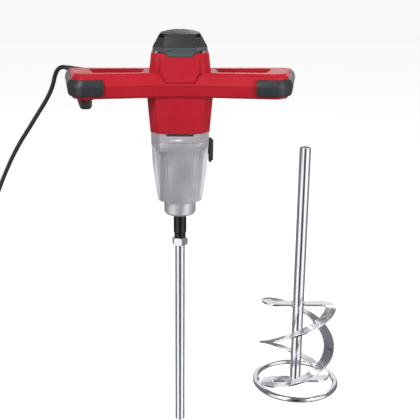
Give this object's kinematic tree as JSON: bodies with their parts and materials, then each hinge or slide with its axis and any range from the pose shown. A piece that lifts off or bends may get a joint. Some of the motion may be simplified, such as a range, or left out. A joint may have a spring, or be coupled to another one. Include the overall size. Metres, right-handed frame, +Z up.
{
  "type": "drill paint mixer",
  "caption": "Two-handed electric paint mixer with cast gearbox and drive rod, and its helical mixing paddle with a tube shank and base ring, standing beside it.",
  "frame": {"origin": "centre of the drive rod's lower end face", "axes": "+Z up along the drive rod to the motor cap, -Y the front, +X towards the gear knob"},
  "size_m": [0.8773, 0.2861, 0.6665],
  "materials": {
    "housing_red": "fine satin moulded plastic",
    "cap_dark": "matt moulded plastic",
    "trim_grey": "satin moulded plastic",
    "rubber_black": "soft overmoulded rubber",
    "gearbox_cast": "bead-blasted casting",
    "spindle_black": "black oxide, polished",
    "plated_steel": "bright zinc plating",
    "steel": "ground steel",
    "copper": "enamelled copper",
    "carbon": "pressed carbon",
    "cord_black": "rubber cord sheath"
  },
  "bodies": {
    "machine": {"motor_housing": "housing_red", "handle_shell_upper": "housing_red", "handle_shell_lower": "housing_red", "motor_cap": "cap_dark", "switch_body": "cap_dark", "control_module": "cap_dark", "fan_baffle": "cap_dark", "brush_holder_left": "cap_dark", "brush_holder_right": "cap_dark", "cap_ring": "trim_grey", "air_outlet_grille": "trim_grey", "bumper_left": "rubber_black", "bumper_right": "rubber_black", "shaft_seal": "rubber_black", "strain_relief": "rubber_black", "gearbox_housing": "gearbox_cast", "bearing_flange": "gearbox_cast", "stator_core": "steel", "bearing_top": "steel", "bearing_middle": "steel", "countershaft_bearing_lower": "steel", "countershaft_bearing_upper": "steel", "spindle_bearing_lower": "steel", "spindle_bearing_upper": "steel", "cap_screw_1": "steel", "cap_screw_2": "steel", "cap_screw_3": "steel", "cap_screw_4": "steel", "gearbox_screw_1": "steel", "gearbox_screw_2": "steel", "gearbox_screw_3": "steel", "gearbox_screw_4": "steel", "handle_screw_1": "steel", "handle_screw_2": "steel", "field_coil_left": "copper", "field_coil_right": "copper", "carbon_brush_left": "carbon", "carbon_brush_right": "carbon", "power_cord": "cord_black", "cord_coil": "cord_black", "cord_tail": "cord_black", "plug": "cord_black"},
    "armature": {"armature_shaft": "steel", "armature_core": "steel", "commutator": "copper", "cooling_fan": "cap_dark"},
    "countershaft": {"countershaft": "steel", "countershaft_gear": "steel"},
    "spindle": {"spindle": "spindle_black", "spindle_gear": "steel", "drive_rod": "plated_steel", "rod_nut": "plated_steel"},
    "trigger": {"trigger": "rubber_black"},
    "lock_button": {"lock_button": "cap_dark"},
    "gear_knob": {"gear_knob": "cap_dark"},
    "shift_fork": {"shift_fork": "steel"},
    "paddle": {"paddle_tube": "plated_steel", "paddle_flight_a": "plated_steel", "paddle_flight_b": "plated_steel", "paddle_ring": "plated_steel"}
  },
  "joints": [
    {"name": "armature_spin", "type": "hinge", "parent": "machine", "child": "armature", "pos_m": [0, 0, 0.55], "axis": [0, 0, 1], "continuous": true},
    {"name": "countershaft_spin", "type": "hinge", "parent": "machine", "child": "countershaft", "pos_m": [0, 0.02, 0.47], "axis": [0, 0, 1], "continuous": true},
    {"name": "spindle_spin", "type": "hinge", "parent": "machine", "child": "spindle", "pos_m": [0, 0, 0.4], "axis": [0, 0, 1], "continuous": true},
    {"name": "trigger_press", "type": "slide", "parent": "machine", "child": "trigger", "axis": [0, 0, 1], "range_m": [0, 0.006], "stiffness_N_per_m": 800, "springref_m": -0.002},
    {"name": "lock_button_press", "type": "slide", "parent": "machine", "child": "lock_button", "axis": [-1, 0, 0], "range_m": [0, 0.003], "stiffness_N_per_m": 500, "springref_m": -0.002},
    {"name": "gear_knob_turn", "type": "hinge", "parent": "machine", "child": "gear_knob", "pos_m": [0.0453, 0, 0.48], "axis": [1, 0, 0], "range_deg": [0, 120.5]},
    {"name": "shift_fork_slide", "type": "slide", "parent": "machine", "child": "shift_fork", "axis": [0, 0, 1], "range_m": [0, 0.003]},
    {"name": "paddle_lift", "type": "slide", "parent": "machine", "child": "paddle", "axis": [0, 0, 1], "range_m": [0, 0.15]}
  ],
  "couplings": [
    {"joint": "countershaft_spin", "follows": "armature_spin", "ratio": -0.19048},
    {"joint": "spindle_spin", "follows": "armature_spin", "ratio": 0.047619},
    {"joint": "gear_knob_turn", "follows": "shift_fork_slide", "rad_per_m": 698.13}
  ]
}
